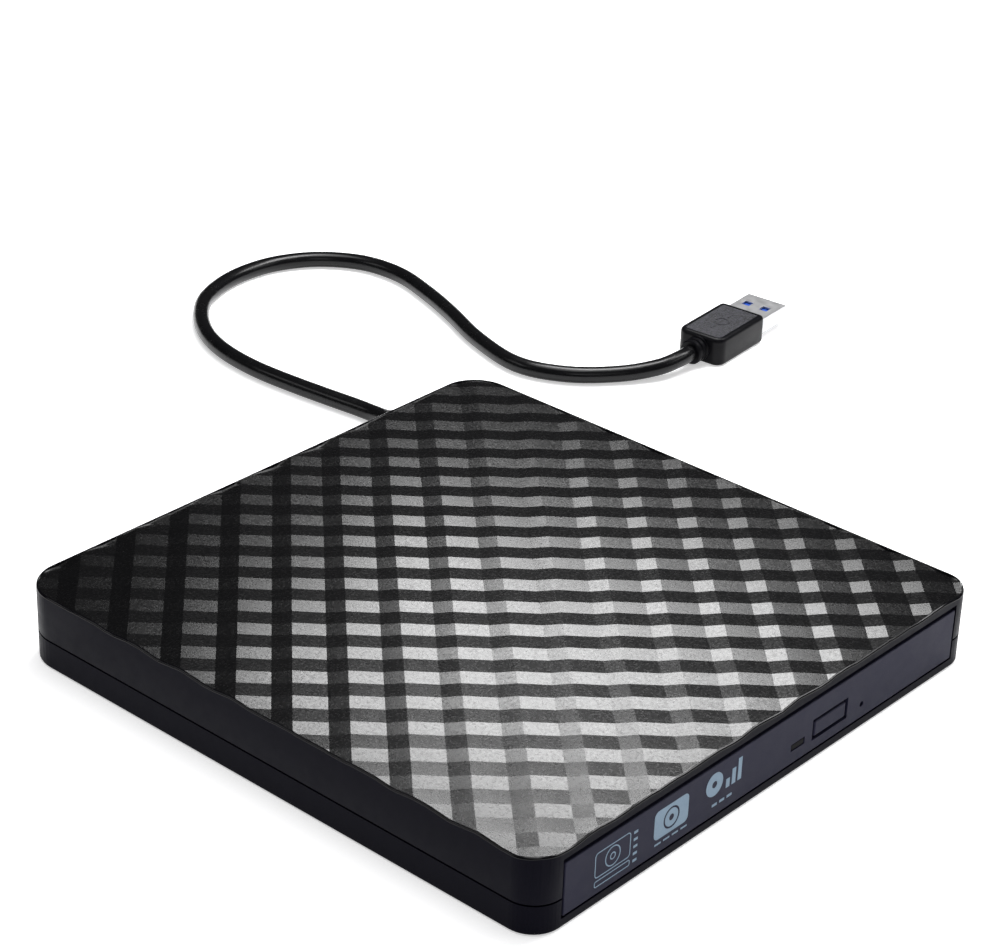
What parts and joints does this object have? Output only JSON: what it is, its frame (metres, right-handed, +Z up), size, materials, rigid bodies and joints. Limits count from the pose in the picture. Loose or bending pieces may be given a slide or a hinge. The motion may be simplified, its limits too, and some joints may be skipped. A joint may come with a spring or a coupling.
{
  "type": "external optical disc drive",
  "caption": "Flat square black external optical drive: textured two-shell housing, slide-out disc tray with spindle and laser sled, captive lead with USB plug.",
  "frame": {"origin": "on the table under the middle of the housing, at the level of the underside of the rubber feet", "axes": "+Z up; the tray opens towards -Y and its bezel faces -Y; +X is to the right of someone who faces the bezel, on the eject button's side"},
  "size_m": [0.2547, 0.2592, 0.0181],
  "materials": {
    "housing_plastic": "semi-gloss black ABS, relief texture on the top face",
    "bezel_plastic": "satin blue-black ABS",
    "tray_plastic": "fine-textured black plastic",
    "black_plastic": "satin",
    "white_plastic": "natural acetal",
    "blue_plastic": "satin",
    "rubber": "matt",
    "cable_jacket": "semi-gloss moulded PVC",
    "steel_sheet": "zinc-plated sheet",
    "steel_parts": "plated",
    "cast_metal": "die-cast, satin",
    "bright_metal": "nickel-plated, polished",
    "circuit_board": "green solder mask",
    "chip_package": "satin epoxy",
    "clear_plastic": "clear polycarbonate",
    "lens_glass": "coated lens"
  },
  "bodies": {
    "housing": {"upper_shell": "housing_plastic", "lower_shell": "housing_plastic", "rubber_foot_1": "rubber", "rubber_foot_2": "rubber", "rubber_foot_3": "rubber", "rubber_foot_4": "rubber", "case_screw_1": "steel_parts", "case_screw_2": "steel_parts", "case_screw_3": "steel_parts", "case_screw_4": "steel_parts", "drive_pan": "steel_sheet", "drive_cover": "steel_sheet", "rail_guide_left": "white_plastic", "rail_guide_right": "white_plastic", "slimline_plug": "black_plastic", "slimline_socket": "black_plastic", "bridge_board": "circuit_board", "bridge_chip": "chip_package", "bridge_crystal": "steel_parts", "strain_relief": "cable_jacket", "usb_lead": "cable_jacket", "usb_plug_body": "cable_jacket", "usb_plug_shell": "bright_metal", "usb_plug_tongue": "blue_plastic"},
    "left_rail": {"left_rail": "steel_parts"},
    "right_rail": {"right_rail": "steel_parts"},
    "tray": {"tray": "tray_plastic", "tray_bezel": "bezel_plastic", "light_guide": "clear_plastic", "tray_bottom_cover": "steel_sheet", "front_board": "circuit_board", "eject_switch": "black_plastic", "main_board": "circuit_board", "drive_chip": "chip_package", "motor_driver_chip": "chip_package", "mechanism_cover": "steel_sheet", "traverse_frame": "cast_metal", "rubber_damper_1": "rubber", "rubber_damper_2": "rubber", "rubber_damper_3": "rubber", "guide_rod_1": "steel_parts", "guide_rod_2": "steel_parts", "spindle_motor_base": "steel_parts", "sled_motor": "steel_parts", "screw_bearing": "white_plastic", "latch_pin": "steel_parts", "latch_solenoid": "steel_parts", "ejector_spring": "steel_parts"},
    "eject_button": {"eject_button": "bezel_plastic"},
    "turntable": {"turntable": "black_plastic", "turntable_pad": "rubber"},
    "hub_claw_1": {"hub_claw_1": "white_plastic"},
    "hub_claw_2": {"hub_claw_2": "white_plastic"},
    "hub_claw_3": {"hub_claw_3": "white_plastic"},
    "optical_sled": {"optical_sled": "cast_metal"},
    "lens": {"lens_holder": "black_plastic", "objective_lens": "lens_glass"},
    "lead_screw": {"lead_screw": "steel_parts"},
    "latch_lever": {"latch_lever": "white_plastic"},
    "ejector_plunger": {"ejector_plunger": "white_plastic"}
  },
  "joints": [
    {"name": "tray_slide", "type": "slide", "parent": "housing", "child": "tray", "axis": [0, -1, 0], "range_m": [0, 0.126], "deforming": ["ejector_spring"]},
    {"name": "left_rail_slide", "type": "slide", "parent": "housing", "child": "left_rail", "axis": [0, -1, 0], "range_m": [0, 0.0631]},
    {"name": "right_rail_slide", "type": "slide", "parent": "housing", "child": "right_rail", "axis": [0, -1, 0], "range_m": [0, 0.0631]},
    {"name": "eject_button_press", "type": "slide", "parent": "tray", "child": "eject_button", "axis": [0, 1, 0], "range_m": [0, 0.0005], "stiffness_N_per_m": 900},
    {"name": "turntable_spin", "type": "hinge", "parent": "tray", "child": "turntable", "pos_m": [0, -0.008, 0.008], "axis": [0, 0, 1], "continuous": true},
    {"name": "hub_claw_1_slide", "type": "slide", "parent": "turntable", "child": "hub_claw_1", "axis": [-0.9659, -0.2588, 0], "range_m": [0, 0.0005], "stiffness_N_per_m": 60},
    {"name": "hub_claw_2_slide", "type": "slide", "parent": "turntable", "child": "hub_claw_2", "axis": [0.7071, -0.7071, 0], "range_m": [0, 0.0005], "stiffness_N_per_m": 60},
    {"name": "hub_claw_3_slide", "type": "slide", "parent": "turntable", "child": "hub_claw_3", "axis": [0.2588, 0.9659, 0], "range_m": [0, 0.0005], "stiffness_N_per_m": 60},
    {"name": "sled_slide", "type": "slide", "parent": "tray", "child": "optical_sled", "axis": [0.7071, -0.7071, 0], "range_m": [0, 0.032]},
    {"name": "lens_focus", "type": "slide", "parent": "optical_sled", "child": "lens", "axis": [0, 0, 1], "range_m": [-0.0003, 0.0004], "stiffness_N_per_m": 60},
    {"name": "lead_screw_spin", "type": "hinge", "parent": "tray", "child": "lead_screw", "pos_m": [0.01655, -0.04661, 0.0074], "axis": [0.7071, -0.7071, 0], "range_deg": [0, 3841]},
    {"name": "latch_lever_turn", "type": "hinge", "parent": "tray", "child": "latch_lever", "pos_m": [-0.042, -0.046, 0.006], "axis": [0, 0, 1], "range_deg": [-15, 0]},
    {"name": "ejector_slide", "type": "slide", "parent": "tray", "child": "ejector_plunger", "axis": [0, 1, 0], "range_m": [0, 0.0101]}
  ],
  "couplings": [
    {"joint": "left_rail_slide", "follows": "tray_slide", "ratio": 0.5},
    {"joint": "right_rail_slide", "follows": "tray_slide", "ratio": 0.5},
    {"joint": "ejector_slide", "follows": "tray_slide", "ratio": 0.08},
    {"joint": "lead_screw_spin", "follows": "sled_slide", "rad_per_m": 2094.4}
  ]
}
